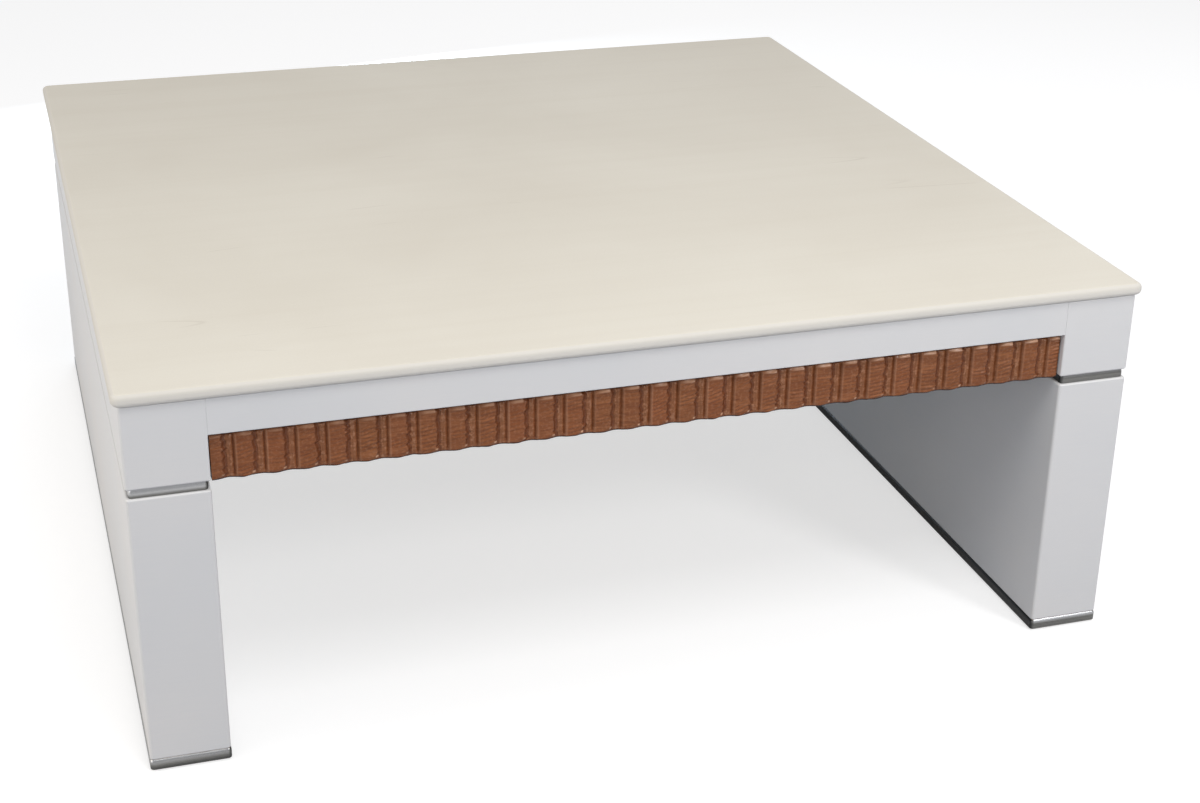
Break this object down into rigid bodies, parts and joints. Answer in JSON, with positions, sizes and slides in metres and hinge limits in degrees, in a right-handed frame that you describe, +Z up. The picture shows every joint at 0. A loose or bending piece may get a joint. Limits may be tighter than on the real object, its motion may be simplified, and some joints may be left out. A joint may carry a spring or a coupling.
{
  "type": "coffee table",
  "caption": "Low square coffee table: thin stone slab on full-depth panel legs, with a metal reveal line, metal plinths and a ribbed wooden strip under each apron rail.",
  "frame": {"origin": "middle of the footprint, on the floor face of the felt glides", "axes": "+Z up; +X to the right seen from the front; the front apron faces -Y, and the panel legs stand at -X and +X"},
  "size_m": [1.067, 1.067, 0.4122],
  "materials": {
    "stone": "honed cream marble, faint linear veins",
    "lacquer": "pale grey-white satin lacquer on board",
    "steel_trim": "brushed stainless steel",
    "ribbed_wood": "brown stained and varnished wood, ribbed",
    "board": "raw birch plywood",
    "zinc_steel": "zinc plated",
    "foam_tape": "closed-cell foam tape",
    "felt": "pressed felt"
  },
  "bodies": {
    "root": {"stone_top": "stone", "header_left": "lacquer", "header_right": "lacquer", "leg_shell_left": "lacquer", "leg_shell_right": "lacquer", "rail_front": "lacquer", "rail_back": "lacquer", "reveal_hoop_left": "steel_trim", "reveal_hoop_right": "steel_trim", "foot_hoop_left": "steel_trim", "foot_hoop_right": "steel_trim", "ribbed_strip_front": "ribbed_wood", "ribbed_strip_back": "ribbed_wood", "deck_panel": "board", "apron_board_front": "board", "apron_board_back": "board", "cross_rail_1": "board", "cross_rail_2": "board", "deck_cleat_left": "board", "deck_cleat_right": "board", "reveal_spacer_left": "board", "leg_top_board_left": "board", "leg_base_board_left": "board", "foot_board_left": "board", "reveal_spacer_right": "board", "leg_top_board_right": "board", "leg_base_board_right": "board", "foot_board_right": "board", "leg_rib_left_1": "board", "leg_rib_left_2": "board", "leg_rib_right_1": "board", "leg_rib_right_2": "board", "leg_bolt_left_1": "zinc_steel", "leg_bolt_left_2": "zinc_steel", "leg_bolt_left_3": "zinc_steel", "leg_bolt_right_1": "zinc_steel", "leg_bolt_right_2": "zinc_steel", "leg_bolt_right_3": "zinc_steel", "tee_nut_left_1": "zinc_steel", "tee_nut_left_2": "zinc_steel", "tee_nut_left_3": "zinc_steel", "tee_nut_right_1": "zinc_steel", "tee_nut_right_2": "zinc_steel", "tee_nut_right_3": "zinc_steel", "corner_bracket_front_left": "zinc_steel", "corner_bracket_front_right": "zinc_steel", "corner_bracket_back_right": "zinc_steel", "corner_bracket_back_left": "zinc_steel", "stone_tape_left": "foam_tape", "stone_tape_right": "foam_tape", "stone_tape_front": "foam_tape", "stone_tape_back": "foam_tape", "stone_tape_middle": "foam_tape", "glide_left_front": "felt", "glide_left_back": "felt", "glide_right_front": "felt", "glide_right_back": "felt"}
  },
  "joints": []
}
